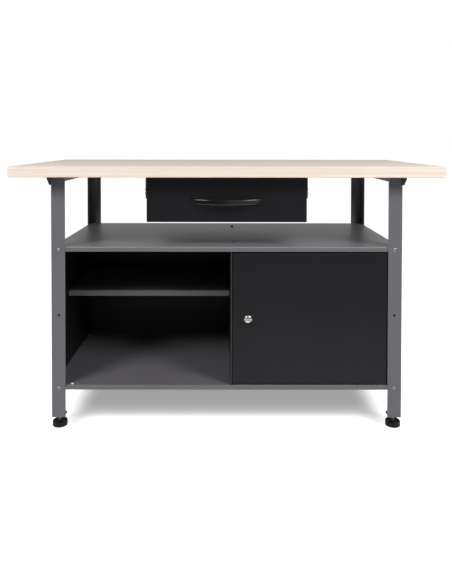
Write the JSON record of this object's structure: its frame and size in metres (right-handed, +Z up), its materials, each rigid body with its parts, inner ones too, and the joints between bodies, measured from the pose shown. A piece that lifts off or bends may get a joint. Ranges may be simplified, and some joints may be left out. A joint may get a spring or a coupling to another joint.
{
  "type": "workbench",
  "caption": "Steel workbench with a wooden worktop, a drawer on roller slides, an open compartment with a half-depth shelf and a cabinet behind a lockable hinged door.",
  "frame": {"origin": "on the floor, under the middle of the worktop", "axes": "+X along the worktop to the right as seen from the front, +Y to the back, +Z up; the drawer and the door face -Y"},
  "size_m": [1.2, 0.6, 0.745],
  "materials": {
    "wood_board": "sealed pale board",
    "grey_paint": "semi-gloss powder coat",
    "black_paint": "fine-textured powder coat",
    "zinc": "bright zinc plating",
    "chrome": "polished",
    "black_plastic": "moulded, satin",
    "white_plastic": "moulded"
  },
  "bodies": {
    "frame": {"worktop": "wood_board", "top_rail_left": "grey_paint", "side_panel_left": "black_paint", "drawer_bracket_left": "black_paint", "slide_rail_left": "zinc", "top_rail_right": "grey_paint", "side_panel_right": "black_paint", "drawer_bracket_right": "black_paint", "slide_rail_right": "zinc", "middle_shelf": "grey_paint", "bottom_shelf": "grey_paint", "inner_shelf": "grey_paint", "partition": "black_paint", "back_panel": "black_paint", "hinge_pin_lower": "zinc", "hinge_pin_upper": "zinc", "leg_front_left": "grey_paint", "leg_bolt_upper_front_left": "zinc", "leg_bolt_lower_front_left": "zinc", "foot_plate_front_left": "black_plastic", "foot_nut_front_left": "zinc", "leg_front_right": "grey_paint", "leg_bolt_upper_front_right": "zinc", "leg_bolt_lower_front_right": "zinc", "foot_plate_front_right": "black_plastic", "foot_nut_front_right": "zinc", "leg_rear_left": "grey_paint", "leg_bolt_upper_rear_left": "zinc", "leg_bolt_lower_rear_left": "zinc", "foot_plate_rear_left": "black_plastic", "foot_nut_rear_left": "zinc", "leg_rear_right": "grey_paint", "leg_bolt_upper_rear_right": "zinc", "leg_bolt_lower_rear_right": "zinc", "foot_plate_rear_right": "black_plastic", "foot_nut_rear_right": "zinc"},
    "drawer": {"drawer_front": "black_paint", "drawer_tray": "black_paint", "drawer_handle": "black_plastic", "drawer_runner_left": "zinc", "drawer_runner_right": "zinc"},
    "rail_roller_left": {"rail_roller_left": "white_plastic"},
    "rail_roller_right": {"rail_roller_right": "white_plastic"},
    "runner_roller_left": {"runner_roller_left": "white_plastic"},
    "runner_roller_right": {"runner_roller_right": "white_plastic"},
    "door": {"door_panel": "black_paint", "lock_housing": "chrome", "lock_nut": "zinc"},
    "lock": {"lock_plug": "chrome", "lock_cam": "zinc"},
    "key": {"key": "chrome"},
    "foot_front_left": {"foot_stem_front_left": "zinc", "foot_pad_front_left": "black_plastic"},
    "foot_front_right": {"foot_stem_front_right": "zinc", "foot_pad_front_right": "black_plastic"},
    "foot_rear_left": {"foot_stem_rear_left": "zinc", "foot_pad_rear_left": "black_plastic"},
    "foot_rear_right": {"foot_stem_rear_right": "zinc", "foot_pad_rear_right": "black_plastic"}
  },
  "joints": [
    {"name": "drawer_slide", "type": "slide", "parent": "frame", "child": "drawer", "axis": [0, -1, 0], "range_m": [0, 0.3]},
    {"name": "door_hinge", "type": "hinge", "parent": "frame", "child": "door", "pos_m": [0.44, -0.2377, 0.312], "axis": [0, 0, 1], "range_deg": [0, 110]},
    {"name": "lock_turn", "type": "hinge", "parent": "door", "child": "lock", "pos_m": [0.0606, -0.2457, 0.31], "axis": [0, -1, 0], "range_deg": [0, 90]},
    {"name": "key_pull", "type": "slide", "parent": "lock", "child": "key", "axis": [0, -1, 0], "range_m": [0, 0.02]},
    {"name": "rail_roller_left_spin", "type": "hinge", "parent": "frame", "child": "rail_roller_left", "pos_m": [-0.2244, -0.212, 0.6624], "axis": [1, 0, 0], "range_deg": [0, 1810.3]},
    {"name": "runner_roller_left_spin", "type": "hinge", "parent": "drawer", "child": "runner_roller_left", "pos_m": [-0.2234, 0.1563, 0.6617], "axis": [1, 0, 0], "range_deg": [0, 1810.3]},
    {"name": "rail_roller_right_spin", "type": "hinge", "parent": "frame", "child": "rail_roller_right", "pos_m": [0.2244, -0.212, 0.6624], "axis": [1, 0, 0], "range_deg": [0, 1810.3]},
    {"name": "runner_roller_right_spin", "type": "hinge", "parent": "drawer", "child": "runner_roller_right", "pos_m": [0.2234, 0.1563, 0.6617], "axis": [1, 0, 0], "range_deg": [0, 1810.3]},
    {"name": "foot_front_left_screw", "type": "slide", "parent": "frame", "child": "foot_front_left", "axis": [0, 0, -1], "range_m": [-0.012, 0.02]},
    {"name": "foot_front_right_screw", "type": "slide", "parent": "frame", "child": "foot_front_right", "axis": [0, 0, -1], "range_m": [-0.012, 0.02]},
    {"name": "foot_rear_left_screw", "type": "slide", "parent": "frame", "child": "foot_rear_left", "axis": [0, 0, -1], "range_m": [-0.012, 0.02]},
    {"name": "foot_rear_right_screw", "type": "slide", "parent": "frame", "child": "foot_rear_right", "axis": [0, 0, -1], "range_m": [-0.012, 0.02]}
  ],
  "couplings": [
    {"joint": "rail_roller_left_spin", "follows": "drawer_slide", "rad_per_m": 105.26},
    {"joint": "runner_roller_left_spin", "follows": "drawer_slide", "rad_per_m": 105.26},
    {"joint": "rail_roller_right_spin", "follows": "drawer_slide", "rad_per_m": 105.26},
    {"joint": "runner_roller_right_spin", "follows": "drawer_slide", "rad_per_m": 105.26}
  ]
}
